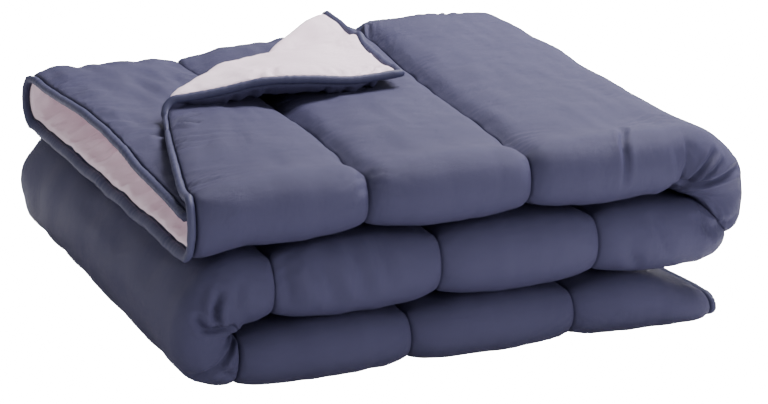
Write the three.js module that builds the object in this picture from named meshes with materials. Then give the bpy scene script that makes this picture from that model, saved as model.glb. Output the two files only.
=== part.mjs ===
// A channel-quilted comforter, folded in three across its width, then in three along its length,
// with the loose corner of its top layer turned back to show the pale reverse.
// The quilt is one filled sheet. Its cord edging is a second piece, sewn round all four sides.
// Lengths are in millimetres. X runs along the quilt's length, Y from the front roll to the back, Z up.
import * as THREE from "three";

// The flat quilt
const PITCH = 208; // from one sewn channel line to the next
const CHANNELS = 11;
const LENGTH = PITCH * CHANNELS;
const WIDTH = 2086;
const HALF_LOFT = 13.3; // half the thickness in the middle of a channel
const HALF_SEAM = 4; // half the thickness at a channel line
const HALF_EDGE = 5; // half the thickness where the edging is sewn on
const EDGE_ROLL = 45; // the loft falls to the sewn edge over this width
const CROWN = 0.38; // below 1, a channel is boxy rather than a pure arch

// The edging cord
const CORD_RADIUS = 6.4;
const CORD_SIDES = 6;
const SEWN_GAP = 0.3; // from the quilt's edge to the cord

// Where the crease bends the cord double it stands off more, on the side edge and on the sewn end
const SIDE_GAP = { at: 352, spread: 30, more: 1.2 };
const END_GAP = { at: 300, spread: 25, more: 0.9 };

// Share of the loft that is pressed out of the cloth, and where: in the turned corner and the layer
// under it, at the open sewn end, and in the innermost layer of the right turn
const FLAP_PRESS = { share: 0.3, acrossFrom: 200, acrossTo: 300, alongFrom: 380, alongTo: 460 };
const MOUTH_PRESS = { share: 0.34, reach: 80, depth: 230, spread: 230 };
const TURN_PRESS = { share: 0.42, along: 885, reach: 100 };

// The three layers of the folded strip, each named by the height of its middle
const LAYER = { lower: 14, middle: 42, upper: 70 };
const CENTRE = LAYER.middle; // the seams draw every layer towards this height
const SEAM_DRAW = 0.07; // share of that height lost at a seam
const DEPTH = 737; // from the front roll to the back roll
const FREE_EDGE = 46; // the middle layer's hidden side edge starts this far behind the front
const BACK_ROLL = 16; // radius of the middle line round the back roll, measured along Y
const BACK_ARC = 47; // length of cloth round the back roll
const FRONT_LINE = 42; // the front roll starts this far behind the front
const FRONT_ROLL = 24.7; // radius of the middle line round the front roll, measured along Y
const FRONT_ARC = 89; // length of cloth round the front roll
const FRONT_PINCH = 6; // how far a seam draws the front roll in

// The three strips of the stack, bottom to top, and the two ends where they turn
const SEAT = 1.5; // the bottom strip is pressed flat by this much where it lies on the floor
const BOTTOM_SQUEEZE = 0.89; // heights in the bottom, middle and top strips against the layer heights
const MIDDLE_SQUEEZE = 1.1;
const TOP_SQUEEZE = 1.05;
const END_SQUEEZE = 0.45; // share of its height that the bottom strip loses at its sewn end
const END_TAPER = 120; // length of that taper
const MIDDLE_TOP = 167.4; // height of the middle strip's top
const STRIP_GAP = 2;
const TOP_START = -59; // X of the sewn end on the top strip
const RIGHT_TURN = 557; // X where the top strip starts to turn
const RIGHT_ARC = 283; // length of cloth round the right turn
const RIGHT_SLIP = 33; // the middle strip starts this much further right
const LEFT_TURN = -4; // X where the middle strip starts to turn
const LEFT_ARC = 178; // length of cloth round the left turn
const LEFT_SLIP = -22; // the bottom strip starts this much further left
const LEFT_BULGE = 0.88; // the left turn is this much flatter than round
const BOTTOM_STRETCH = 1.036; // the bottom strip's channels lie this much wider than the rest
const LAST_STRETCH = 0.93; // and its last channel is drawn in this much

const CORNER_REACH = 2.2 * PITCH; // the turned corner lies in this length of the sheet

// How the top strip is puffed up, and opens at its sewn end
const PUFF = 32; // rise of its upper layers at the back
const PUFF_DEPTH = { from: 20, to: 650 };
const PUFF_LENGTH = { least: 0.5, from: 120, to: 450 }; // less of it near the sewn end
const PUFF_TURN = { less: 0.12, from: 500, to: 650 }; // and towards the right turn
const TURN_FADE = 4; // all of it fades round the right turn
const LOOSE_REST = 2; // the upper layers lie this much higher than a tidy stack
const MOUTH_DROP = 16; // the lower layer sinks over the left turn
const DROP_POWER = 1.6;
const TOP_FORMS = [
  { layer: "middle", rise: 17, along: 0, reach: 60, depth: 370, spread: 190 }, // the sewn end stands up
  { layer: "upper", rise: -8, along: 0, reach: 60, depth: 60, spread: 70 }, // its front end is tucked in
  { layer: "both", rise: -12, along: 249, reach: 150, depth: 430, spread: 130 }, // under the turned corner
];

// The lean to the right of the top strip's channel lines, at the back
const LEAN_DEPTH = 650;
const LEAN_POWER = 1.7;
const LEAN = [
  { along: 0, lean: 45 },
  { along: 208, lean: 45 },
  { along: 416, lean: 50 },
  { along: 624, lean: 34 },
  { along: 773, lean: -14 },
  { along: 896, lean: -12 },
  { along: 1000, lean: 0 },
];
const WHOLE_LEAN = { from: 300, to: 616 }; // beyond this length the lower layers lean with the top one
const END_LEAN = 72; // lean of the top layer's sewn end where the corner turns back
const END_LEAN_DEPTH = 335; // depth at which it is reached
const END_LEAN_POWER = 1.35;
const END_LEAN_FADE = 1.2; // how fast it fades over the first channel
const CORNER_LEAN = 49; // lean of the loose corner before it is turned back
const CORNER_LEAN_FROM = 300;

// The crease of the turned corner, from the sewn end to the side edge, and the radius of its roll
const CREASE_START = new THREE.Vector2(31, 348);
const CREASE_END = new THREE.Vector2(389, 670);
const CREASE_ROLL = [
  { share: 0, radius: 10 },
  { share: 0.25, radius: 11.5 },
  { share: 0.7, radius: 11.5 },
  { share: 1, radius: 16.4 },
];
const FLAP_HEIGHT = 24; // from the middle of the top layer to the middle of the corner lying on it
const FLAP_SETTLE = 90; // distance from the crease at which it lies at that height

// Where the mesh of the quilt has its lines
const CHANNEL_STEPS = [0, 0.1, 0.3, 0.7, 0.9]; // as shares of a channel
const EDGE_STEPS = [8, 22, EDGE_ROLL];
const CREASE_STEPS = [0, 8, 22, 45, 90, 140, 187, 208, 229, 280]; // along the crease, from the sewn end
const CREASE_LAST = [60, 29, 11, 0]; // and back from the side edge
const BEYOND_STEPS = [0, 6, 12, 18, 25, 33, 42, 53, 80, 112, 147, 182, 210]; // over the crease to the tip
const RIM = 14; // the corner's first line inside its edges
const STOP_SPACING = 8; // no line lies nearer than this to a seam's own
const RIGHT_STEPS = 9;
const LEFT_STEPS = 8;
const BACK_STEPS = 4;
const FRONT_STEPS = 7;

const clamp = THREE.MathUtils.clamp;
const smooth = (low, high, x) => THREE.MathUtils.smoothstep(x, low, high);
const bell = (x) => Math.exp(-x * x);

// Straight lines between the rows of a short table.
function lookUp(table, key, value, x) {
  const next = table.findIndex((row) => row[key] > x);
  if (next === 0) return table[0][value];
  if (next < 0) return table.at(-1)[value];
  const [a, b] = [table[next - 1], table[next]];
  return a[value] + ((b[value] - a[value]) * (x - a[key])) / (b[key] - a[key]);
}

// Where the strips start and end along the sheet
const TOP_END = RIGHT_TURN - TOP_START;
const MIDDLE_START = TOP_END + RIGHT_ARC;
const MIDDLE_END = MIDDLE_START + RIGHT_TURN + RIGHT_SLIP - LEFT_TURN;
const BOTTOM_START = MIDDLE_END + LEFT_ARC;
const LAST_SEAM = LENGTH - PITCH;

// Where the layers start and end across the sheet
const BACK_LINE = DEPTH - HALF_LOFT - BACK_ROLL;
const MIDDLE_EDGE = BACK_LINE - FREE_EDGE;
const LOWER_START = MIDDLE_EDGE + BACK_ARC;
const LOWER_END = LOWER_START + BACK_LINE - FRONT_LINE;
const UPPER_START = LOWER_END + FRONT_ARC;

// 0 at a sewn channel line and 1 in the middle of a channel
function loft(along) {
  const share = along / PITCH - Math.floor(along / PITCH);
  return Math.pow(4 * share * (1 - share), CROWN);
}

// How much of its thickness the cloth loses where it is pressed together
function pressed(along, across) {
  const upper = across - UPPER_START;
  const flap =
    smooth(FLAP_PRESS.acrossFrom, FLAP_PRESS.acrossTo, upper) *
    (1 - smooth(FLAP_PRESS.alongFrom, FLAP_PRESS.alongTo, along));
  const depth = across < MIDDLE_EDGE ? across + FREE_EDGE : upper + FRONT_LINE;
  const mouth = bell(along / MOUTH_PRESS.reach) * bell((depth - MOUTH_PRESS.depth) / MOUTH_PRESS.spread);
  const lower = smooth(MIDDLE_EDGE, LOWER_START, across) * (1 - smooth(LOWER_END, UPPER_START, across));
  const turn = bell((along - TURN_PRESS.along) / TURN_PRESS.reach) * lower;
  return Math.max(FLAP_PRESS.share * flap, MOUTH_PRESS.share * mouth, TURN_PRESS.share * turn);
}

// Half the thickness of the quilt at a place of the flat sheet
function halfThickness(along, across) {
  const fromEnd = Math.min(along, LENGTH - along);
  const fromEdge = Math.min(fromEnd, across, WIDTH - across);
  const full = fromEnd < PITCH / 2 ? 1 : loft(along);
  const half = (HALF_SEAM + (HALF_LOFT - HALF_SEAM) * full) * (1 - pressed(along, across));
  const rise = Math.sqrt(1 - (1 - clamp(fromEdge / EDGE_ROLL, 0, 1)) ** 2);
  return HALF_EDGE + (half - HALF_EDGE) * rise;
}

// How far each layer of the top strip is moved up from its place in a tidy stack
function lifts(along, depth) {
  const turned = clamp((along - TOP_END) / RIGHT_ARC, 0, 1);
  const fade = Math.cos((turned * Math.PI) / 2) ** TURN_FADE;
  const length =
    PUFF_LENGTH.least +
    (1 - PUFF_LENGTH.least) * smooth(PUFF_LENGTH.from, PUFF_LENGTH.to, along) -
    PUFF_TURN.less * smooth(PUFF_TURN.from, PUFF_TURN.to, along);
  const puff = PUFF * smooth(PUFF_DEPTH.from, PUFF_DEPTH.to, depth) * length + LOOSE_REST;
  const rise = { middle: puff, upper: puff };
  for (const form of TOP_FORMS) {
    const near = bell((along - form.along) / form.reach) * bell((depth - form.depth) / form.spread);
    const here = form.rise * near;
    if (form.layer !== "upper") rise.middle += here;
    if (form.layer !== "middle") rise.upper += here;
  }
  const overhang = Math.max(1 - along / (LEFT_TURN - TOP_START), 0);
  const lower = -MOUTH_DROP * overhang ** DROP_POWER;
  return { lower, middle: rise.middle * fade, upper: rise.upper * fade };
}

// How far the top layer leans to the right
function lean(along, depth) {
  const back = Math.max(depth, 0) / LEAN_DEPTH;
  const strip = lookUp(LEAN, "along", "lean", along) * back ** LEAN_POWER;
  const near = END_LEAN * clamp(depth / END_LEAN_DEPTH, 0, 1) ** END_LEAN_POWER;
  const corner = (CORNER_LEAN - END_LEAN) * smooth(CORNER_LEAN_FROM, LEAN_DEPTH, depth);
  const plain = LEAN[0].lean * clamp(back, 0, END_LEAN_DEPTH / LEAN_DEPTH) ** LEAN_POWER;
  return strip + (near + corner - plain) * clamp(1 - along / PITCH, 0, 1.1) ** END_LEAN_FADE;
}

// The fold across the width: the depth and height of a place in the strip, with its own share of the
// upper layer. Off is the distance from the middle of the cloth, towards the dark face.
function crossFold(along, across, off) {
  const line = { depth: 0, height: 0, outDepth: 0, outHeight: 0, upperShare: 0 };
  const heights = (depth) => {
    const lift = lifts(along, depth);
    return {
      lower: LAYER.lower + lift.lower,
      middle: LAYER.middle + lift.middle,
      upper: LAYER.upper + lift.upper,
    };
  };
  if (across < MIDDLE_EDGE) {
    line.depth = FREE_EDGE + across;
    line.height = heights(line.depth).middle;
    line.outHeight = 1;
  } else if (across < LOWER_START) {
    const turn = Math.PI / 2 - (Math.PI * (across - MIDDLE_EDGE)) / BACK_ARC;
    line.depth = BACK_LINE + BACK_ROLL * Math.cos(turn);
    const at = heights(line.depth);
    line.height = (at.lower + at.middle) / 2 + ((at.middle - at.lower) / 2) * Math.sin(turn);
    line.outDepth = Math.cos(turn);
    line.outHeight = Math.sin(turn);
  } else if (across < LOWER_END) {
    line.depth = BACK_LINE - (across - LOWER_START);
    line.height = heights(line.depth).lower;
    line.outHeight = -1;
  } else if (across < UPPER_START) {
    const turn = -Math.PI / 2 + (Math.PI * (across - LOWER_END)) / FRONT_ARC;
    line.depth = FRONT_LINE - FRONT_ROLL * Math.cos(turn);
    const at = heights(line.depth);
    line.height = (at.lower + at.upper) / 2 + ((at.upper - at.lower) / 2) * Math.sin(turn);
    line.depth += FRONT_PINCH * (1 - loft(along)) * Math.cos(turn);
    line.outDepth = -Math.cos(turn);
    line.outHeight = Math.sin(turn);
    line.upperShare = (1 + Math.sin(turn)) / 2;
  } else {
    line.depth = FRONT_LINE + (across - UPPER_START);
    line.height = heights(line.depth).upper;
    line.outHeight = 1;
    line.upperShare = 1;
  }
  const height = line.height + line.outHeight * off;
  const draw = 1 - SEAM_DRAW * (1 - loft(along));
  return {
    depth: line.depth + line.outDepth * off,
    height: CENTRE + (height - CENTRE) * draw,
    upperShare: line.upperShare,
  };
}

// The fold along the length: X and Z of a height in the strip, in the strip or turn that it lies in
function longFold(along, height) {
  const taper = 1 - END_SQUEEZE * smooth(LENGTH - END_TAPER, LENGTH + 10, along);
  const top = MIDDLE_TOP + STRIP_GAP + height * TOP_SQUEEZE;
  const middle = MIDDLE_TOP - height * MIDDLE_SQUEEZE;
  const bottom = Math.max(height * BOTTOM_SQUEEZE * taper, SEAT);
  if (along < TOP_END) return { x: TOP_START + along, z: top };
  if (along < MIDDLE_START) {
    const turn = ((along - TOP_END) / RIGHT_ARC) * Math.PI;
    const radius = (top - middle) / 2;
    return {
      x: RIGHT_TURN + radius * Math.sin(turn) + (RIGHT_SLIP * (1 - Math.cos(turn))) / 2,
      z: (top + middle) / 2 + radius * Math.cos(turn),
    };
  }
  if (along < MIDDLE_END) return { x: RIGHT_TURN + RIGHT_SLIP - (along - MIDDLE_START), z: middle };
  if (along < BOTTOM_START) {
    const turn = ((along - MIDDLE_END) / LEFT_ARC) * Math.PI;
    const radius = (middle - bottom) / 2;
    return {
      x: LEFT_TURN + (LEFT_SLIP * (1 - Math.cos(turn))) / 2 - radius * LEFT_BULGE * Math.sin(turn),
      z: (middle + bottom) / 2 + radius * Math.cos(turn),
    };
  }
  const plain = Math.min(along, LAST_SEAM) - BOTTOM_START;
  const last = Math.max(along - LAST_SEAM, 0);
  const x = LEFT_TURN + LEFT_SLIP + plain * BOTTOM_STRETCH + last * LAST_STRETCH;
  return { x, z: bottom };
}

// The crease as a line in plan: how far along it a place is, and how far beyond it
const CREASE = CREASE_END.clone().sub(CREASE_START);
const CREASE_LENGTH = CREASE.length();
const CREASE_WAY = CREASE.clone().normalize();
const CREASE_SIDE = new THREE.Vector2(-CREASE_WAY.y, CREASE_WAY.x);

// Turns a place of the top layer beyond the crease over it, face to face with the cloth in front
function turnCorner(x, depth, off) {
  const from = new THREE.Vector2(x, depth).sub(CREASE_START);
  const beyond = from.dot(CREASE_SIDE);
  if (beyond <= 0) return null;
  const way = from.dot(CREASE_WAY);
  const radius = lookUp(CREASE_ROLL, "share", "radius", clamp(way / CREASE_LENGTH, -0.2, 1.2));
  const turn = Math.min(beyond / radius, Math.PI);
  const lying = Math.max(beyond - Math.PI * radius, 0);
  const back = (radius - off) * Math.sin(turn) - lying;
  const settle = smooth(0, FLAP_SETTLE, lying);
  const place = CREASE_START.clone().addScaledVector(CREASE_WAY, way).addScaledVector(CREASE_SIDE, back);
  const rise =
    radius -
    (radius - off) * Math.cos(turn) +
    (FLAP_HEIGHT - 2 * radius) * settle * smooth(0, 1, lying / FLAP_SETTLE);
  const under = place.x - TOP_START;
  const along = Math.max(under - lean(under, place.y), 0);
  const bed = (LAYER.upper + lifts(along, place.y).upper) * TOP_SQUEEZE;
  return new THREE.Vector3(place.x, place.y, MIDDLE_TOP + STRIP_GAP + bed + rise);
}

// How far beyond the crease a place of the flat top layer lies
function beyondCrease(along, across) {
  const depth = FRONT_LINE + across - UPPER_START;
  const place = new THREE.Vector2(TOP_START + along + lean(along, depth), depth);
  return place.sub(CREASE_START).dot(CREASE_SIDE);
}

// The folded place of a point of the flat sheet
function folded(along, across, off) {
  const cross = crossFold(along, across, off);
  const long = longFold(along, cross.height);
  const whole = smooth(WHOLE_LEAN.from, WHOLE_LEAN.to, along);
  const share = cross.upperShare + (1 - cross.upperShare) * whole;
  const x = long.x + lean(along, cross.depth) * share;
  const onCorner = across >= UPPER_START && along < CORNER_REACH;
  const turned = onCorner ? turnCorner(x, cross.depth, off) : null;
  const place = turned ?? new THREE.Vector3(x, cross.depth, long.z);
  place.z -= SEAT;
  return place;
}

// The value between two others at which a rising function passes nought
function rootOf(rising, from, to) {
  let [low, high] = [from, to];
  for (let n = 0; n < 40; n++) {
    const half = (low + high) / 2;
    if (rising(half) > 0) high = half;
    else low = half;
  }
  return high;
}

const acrossAt = (along, beyond) =>
  rootOf((across) => beyondCrease(along, across) - beyond, UPPER_START, WIDTH);
const alongAt = (beyond) => rootOf((along) => beyond - beyondCrease(along, WIDTH), 0, CORNER_REACH);
const steps = (from, length, count) =>
  Array.from({ length: count + 1 }, (_, n) => from + (length * n) / count);

// Rising stops without any that crowd a stop to be kept
function tidyStops(stops, kept, spacing) {
  const loose = stops.filter((s) => kept.every((k) => Math.abs(s - k) > spacing));
  return [...new Set([...loose, ...kept])].sort((a, b) => a - b);
}

// The lines of the mesh along the length: the crease's, then the seams, channels and turns
function alongStops(crease) {
  const seams = steps(0, LENGTH, CHANNELS).slice(2);
  const channels = seams.slice(0, -1).flatMap((seam) => CHANNEL_STEPS.map((share) => seam + share * PITCH));
  const inTurn = (s) => (s > TOP_END && s < MIDDLE_START) || (s > MIDDLE_END && s < BOTTOM_START);
  const stops = [
    ...channels.filter((s) => !inTurn(s) && s < LENGTH - EDGE_ROLL),
    ...steps(TOP_END, RIGHT_ARC, RIGHT_STEPS),
    ...steps(MIDDLE_END, LEFT_ARC, LEFT_STEPS),
    ...EDGE_STEPS.map((step) => LENGTH - step),
  ];
  return tidyStops(stops, [...crease, ...seams], STOP_SPACING);
}

// The lines of the mesh across the width: layers and rolls, then the crease's
function acrossStops(crease) {
  const between = (from, to, shares) => shares.map((share) => from + (to - from) * share);
  const depths = crease.map((along) => acrossAt(along, 0));
  return [
    0,
    ...EDGE_STEPS,
    ...between(EDGE_ROLL, MIDDLE_EDGE, [0.3, 0.5, 0.7, 0.87]),
    ...steps(MIDDLE_EDGE, BACK_ARC, BACK_STEPS),
    ...between(LOWER_START, LOWER_END, [0.25, 0.5, 0.75]),
    ...steps(LOWER_END, FRONT_ARC, FRONT_STEPS),
    ...between(UPPER_START, depths[0], [0.25, 0.6]),
    ...depths,
  ];
}

// One line of the corner's mesh, side by side with the crease, from the sewn end to the side edge
function cornerLine(beyond, count) {
  const end = alongAt(beyond);
  if (count < 3) return steps(0, end, count);
  const rim = Math.min(RIM, end / count);
  const inside = steps(rim, end - 2.3 * rim, count - 2);
  const seam = inside.findIndex((along) => along > PITCH);
  if (seam > 0 && end > PITCH + 2 * RIM) {
    const nearer = PITCH - inside[seam - 1] < inside[seam] - PITCH ? seam - 1 : seam;
    inside[nearer] = PITCH;
  }
  return [0, ...inside, end];
}

// The knots of the mesh as places of the flat sheet. Beyond the crease they lie on lines beside it.
function sheetKnots() {
  const creaseEnd = alongAt(0);
  const crease = [...CREASE_STEPS, ...CREASE_LAST.map((back) => creaseEnd - back)];
  const across = acrossStops(crease);
  const knots = alongStops(crease).map((along) => across.map((place) => ({ along, across: place })));
  const first = across.length - crease.length;
  BEYOND_STEPS.slice(1).forEach((beyond, n) => {
    const level = n + 1;
    cornerLine(beyond, crease.length - 1 - level).forEach((along, i) => {
      knots[i][first + level + i] = { along, across: acrossAt(along, beyond) };
    });
  });
  return knots;
}

function meshFrom(name, points, triangles, material) {
  const geometry = new THREE.BufferGeometry();
  geometry.setAttribute("position", new THREE.Float32BufferAttribute(points.flatMap((p) => p.toArray()), 3));
  geometry.setIndex(triangles);
  geometry.computeVertexNormals();
  const mesh = new THREE.Mesh(geometry, material);
  mesh.name = name;
  return mesh;
}

// The quilt: its dark face, its pale reverse, and the narrow walls that close them at the four edges
function makeQuilt(knots, material) {
  const rows = knots[0].length;
  const flat = knots.flat();
  const points = [1, -1].flatMap((side) =>
    flat.map(({ along, across }) => folded(along, across, side * halfThickness(along, across))),
  );
  const reverse = flat.length;
  const at = (i, j) => i * rows + j;
  const triangles = [];
  const quad = (a, b, c, d) => triangles.push(a, b, c, a, c, d);
  for (let i = 0; i + 1 < knots.length; i++) {
    for (let j = 0; j + 1 < rows; j++) {
      quad(at(i, j), at(i + 1, j), at(i + 1, j + 1), at(i, j + 1));
      triangles.push(reverse + at(i, j), reverse + at(i + 1, j + 1), reverse + at(i + 1, j));
      triangles.push(reverse + at(i, j), reverse + at(i, j + 1), reverse + at(i + 1, j + 1));
    }
  }
  const wall = (a, b) => quad(a, reverse + a, reverse + b, b);
  const lastAlong = knots.length - 1;
  const lastAcross = rows - 1;
  for (let i = 0; i < lastAlong; i++) {
    wall(at(i, 0), at(i + 1, 0));
    wall(at(i + 1, lastAcross), at(i, lastAcross));
  }
  for (let j = 0; j < lastAcross; j++) {
    wall(at(0, j + 1), at(0, j));
    wall(at(lastAlong, j), at(lastAlong, j + 1));
  }
  return meshFrom("quilt", points, triangles, material);
}

// The edging: a closed loop of cord beside the quilt's edge, with a ring at each knot of its mesh
function makeEdging(knots, material) {
  const borders = [
    { knots: knots.map((line) => line[0]), outAlong: 0, outAcross: -1 },
    { knots: knots.at(-1), outAlong: 1, outAcross: 0 },
    { knots: knots.map((line) => line.at(-1)).reverse(), outAlong: 0, outAcross: 1 },
    { knots: [...knots[0]].reverse(), outAlong: -1, outAcross: 0 },
  ];
  const stations = borders.flatMap((border, n) => {
    const last = borders.at(n - 1);
    const [corner, ...rest] = border.knots.slice(0, -1);
    const facing = (knot, outAlong, outAcross) => ({ ...knot, outAlong, outAcross });
    return [
      facing(corner, last.outAlong + border.outAlong, last.outAcross + border.outAcross),
      ...rest.map((knot) => facing(knot, border.outAlong, border.outAcross)),
    ];
  });
  const points = [];
  const step = (2 * Math.PI) / CORD_SIDES;
  const apothem = CORD_RADIUS * Math.cos(step / 2);
  for (const s of stations) {
    const upper = s.across - UPPER_START;
    const side = s.outAcross > 0 ? SIDE_GAP.more * bell((s.along - SIDE_GAP.at) / SIDE_GAP.spread) : 0;
    const end = s.outAlong < 0 ? END_GAP.more * bell((upper - END_GAP.at) / END_GAP.spread) : 0;
    for (let k = 0; k < CORD_SIDES; k++) {
      const out = SEWN_GAP + side + end + apothem + CORD_RADIUS * Math.cos(step * (k + 0.5));
      const off = CORD_RADIUS * Math.sin(step * (k + 0.5));
      points.push(folded(s.along + out * s.outAlong, s.across + out * s.outAcross, off));
    }
  }
  const triangles = [];
  stations.forEach((_, n) => {
    const next = (n + 1) % stations.length;
    for (let k = 0; k < CORD_SIDES; k++) {
      const k2 = (k + 1) % CORD_SIDES;
      const [a, b] = [n * CORD_SIDES + k, next * CORD_SIDES + k];
      const [c, d] = [next * CORD_SIDES + k2, n * CORD_SIDES + k2];
      triangles.push(a, b, c, a, c, d);
    }
  });
  return meshFrom("edge_cord", points, triangles, material);
}

const faceCloth = new THREE.MeshStandardMaterial({ color: 0x5f6580, roughness: 0.62, metalness: 0 });
const cordCloth = new THREE.MeshStandardMaterial({ color: 0x4c5470, roughness: 0.68, metalness: 0 });

const comforter = new THREE.Group();
const knots = sheetKnots();
comforter.add(makeQuilt(knots, faceCloth), makeEdging(knots, cordCloth));

// The origin is the middle of the footprint, on the floor
const box = new THREE.Box3().setFromObject(comforter, true);
const middle = box.getCenter(new THREE.Vector3());
comforter.position.set(-middle.x, -middle.y, -box.min.z);

export default comforter;
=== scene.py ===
"""A channel-quilted comforter, folded into a stack with one corner turned back, dressed in Blender.

The flat quilt has a place along its length and a place across its width. One set of folding
functions takes such a place to the stack, so every piece bends through the same folds. Lengths in
those functions are in millimetres, and the meshes are in metres.
"""

import math

import bpy
import numpy as np
from bpy.props import FloatProperty, FloatVectorProperty, PointerProperty
from bpy.types import Operator, Panel, PropertyGroup
from mathutils import Matrix, Vector


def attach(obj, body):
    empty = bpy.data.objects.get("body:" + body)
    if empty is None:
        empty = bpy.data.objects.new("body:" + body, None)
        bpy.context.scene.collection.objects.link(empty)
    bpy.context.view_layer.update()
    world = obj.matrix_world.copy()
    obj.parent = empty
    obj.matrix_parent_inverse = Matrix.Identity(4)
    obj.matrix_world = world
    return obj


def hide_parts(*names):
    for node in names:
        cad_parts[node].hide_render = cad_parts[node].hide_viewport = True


bl_info = {
    "name": "Folded comforter",
    "version": (1, 0, 0),
    "blender": (4, 5, 0),
    "location": "View3D > Sidebar > Comforter",
    "description": "A folded, channel-quilted comforter with a corded edge",
    "category": "Object",
}

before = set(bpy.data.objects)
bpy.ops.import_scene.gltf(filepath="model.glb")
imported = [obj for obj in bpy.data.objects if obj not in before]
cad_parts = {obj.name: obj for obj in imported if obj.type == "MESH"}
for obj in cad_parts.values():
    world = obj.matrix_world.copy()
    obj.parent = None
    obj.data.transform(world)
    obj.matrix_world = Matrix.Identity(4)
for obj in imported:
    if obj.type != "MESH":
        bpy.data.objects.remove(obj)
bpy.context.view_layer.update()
MM = 0.001

# The flat quilt
PITCH = 208
CHANNELS = 11
LENGTH = PITCH * CHANNELS
WIDTH = 2086
HALF_LOFT = 13.3
HALF_EDGE = 2.6
EDGE_ROLL = 32
CORNER_FLAT = {"extra": 1.8, "along": (400, 520)}

# How far a sewn line strays to either side, and the lengths of its waves
SEAM_STRAY = 1.3
STRAY_WAVE = {"short": 17, "long": 41, "swing": 2.2, "shift": 150}

# The line that hardly shows where the top strip is stuffed full
FAINT_SEAM = {"seam": 3, "share": 0.93}

# Share of the loft that is pressed out of the cloth
FLAP_PRESS = {"share": 0.3, "across": (200, 300), "along": (380, 460)}
MOUTH_PRESS = {"share": 0.25, "reach": 80, "depth": 230, "spread": 230}
TURN_PRESS = {"share": 0.42, "along": 885, "reach": 100}

# The fold across the width
LAYER = {"lower": 14, "middle": 42, "upper": 70}
CENTRE = LAYER["middle"]
SEAM_DRAW = 0.07
DEPTH = 737
FREE_EDGE = 46
BACK_ROLL = 16
BACK_ARC = 47
FRONT_LINE = 42
FRONT_ROLL = 24.7
FRONT_ARC = 89
FRONT_PINCH = 6
BACK_LINE = DEPTH - HALF_LOFT - BACK_ROLL
MIDDLE_EDGE = BACK_LINE - FREE_EDGE
LOWER_START = MIDDLE_EDGE + BACK_ARC
LOWER_END = LOWER_START + BACK_LINE - FRONT_LINE
UPPER_START = LOWER_END + FRONT_ARC

# The fold along the length
SEAT = 1.5
BOTTOM_SQUEEZE = 0.89
MIDDLE_SQUEEZE = 1.1
TOP_SQUEEZE = 1.05
END_SQUEEZE = 0.45
END_TAPER = 120
MIDDLE_TOP = 167.4
STRIP_GAP = 2
TOP_START = -59
RIGHT_TURN = 557
RIGHT_ARC = 283
RIGHT_SLIP = 33
LEFT_TURN = -4
LEFT_ARC = 178
LEFT_SLIP = -22
LEFT_BULGE = 0.88
BOTTOM_STRETCH = 1.036
BOTTOM_SHIFT = 21
LAST_STRETCH = 0.93
TOP_END = RIGHT_TURN - TOP_START
MIDDLE_START = TOP_END + RIGHT_ARC
MIDDLE_END = MIDDLE_START + RIGHT_TURN + RIGHT_SLIP - LEFT_TURN
BOTTOM_START = MIDDLE_END + LEFT_ARC
LAST_SEAM = LENGTH - PITCH

# How the top strip is puffed up, and opens at its sewn end
PUFF = 32
PUFF_DEPTH = (20, 650)
PUFF_START = {"share": 0.5, "along": (120, 450)}
PUFF_EASE = {"share": 0.12, "along": (500, 650)}
TURN_FADE = 4
LOOSE_REST = 2
MOUTH_DROP = 16
DROP_POWER = 1.6
TOP_FORMS = (
    {"layer": "middle", "rise": 17, "along": 0, "reach": 60, "depth": 370, "spread": 190},
    {"layer": "upper", "rise": -8, "along": 0, "reach": 60, "depth": 60, "spread": 70},
    {"layer": "both", "rise": -12, "along": 249, "reach": 150, "depth": 430, "spread": 130},
)

# The lean of the top strip to the right, at the back
LEAN_DEPTH = 650
LEAN_POWER = 1.7
LEAN = {0: 45, 208: 45, 416: 50, 624: 34, 773: -14, 896: -12, 1000: 0}
END_LEAN = 72
END_LEAN_DEPTH = 335
END_LEAN_POWER = 1.35
END_LEAN_FALL = 1.2
END_LEAN_LIMIT = 1.1
CORNER_LEAN = 49
CORNER_LEAN_START = 300

# The crease of the turned corner
CREASE_START = np.array((31.0, 348.0))
CREASE_END = np.array((389.0, 670.0))
CREASE_WAY = (CREASE_END - CREASE_START) / np.linalg.norm(CREASE_END - CREASE_START)
CREASE_SIDE = np.array((-CREASE_WAY[1], CREASE_WAY[0]))
CREASE_LENGTH = float(np.linalg.norm(CREASE_END - CREASE_START))
CREASE_ROLL = {0: 10, 0.25: 11.5, 0.7: 11.5, 1: 16.4}
CORNER_REACH = 2.2 * PITCH
FLAP_HEIGHT = 24
FLAP_SETTLE = 90

# From the mapping's origin to the middle of the footprint on the floor
ORIGIN = np.array((289.76, 370.98, 0.0))

# The turned corner hangs below its cord, which is drawn up to the pale side
PINCH = 1708
PINCH_IN = 5
PINCH_REACH = {"along": 26, "across": 8}
HANG = {"rise": 14, "reach": 48, "from": (1790, 1900), "to": (1960, 2040), "left": 0.15}
BELLY = {"depth": 11, "along": 15, "reach": 19, "from": (1770, 1850), "to": (2030, 2075)}

# Uneven edges: the border wanders this far up and down, over about this length
WANDER = {"rise": 1.2, "length": 130, "reach": 28, "seed": 70}

# The top strip: valleys at its channel lines, a round shoulder at its front, and the bulge of the
# back roll at its sewn end
VALLEY = {"depth": 6, "reach": 13, "until": (2.4 * PITCH, 2.6 * PITCH)}
SHOULDER = {"drop": 6, "beyond": 38, "reach": 42, "until": (2.8 * PITCH, 3.2 * PITCH)}
BACK_BULGE = {"out": 8, "spread": 24, "reach": 150}
CORNER_HILL = {"rise": 12, "across": (1790, 1900), "until": (1975, 2060)}
CALM = 0.4

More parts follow.
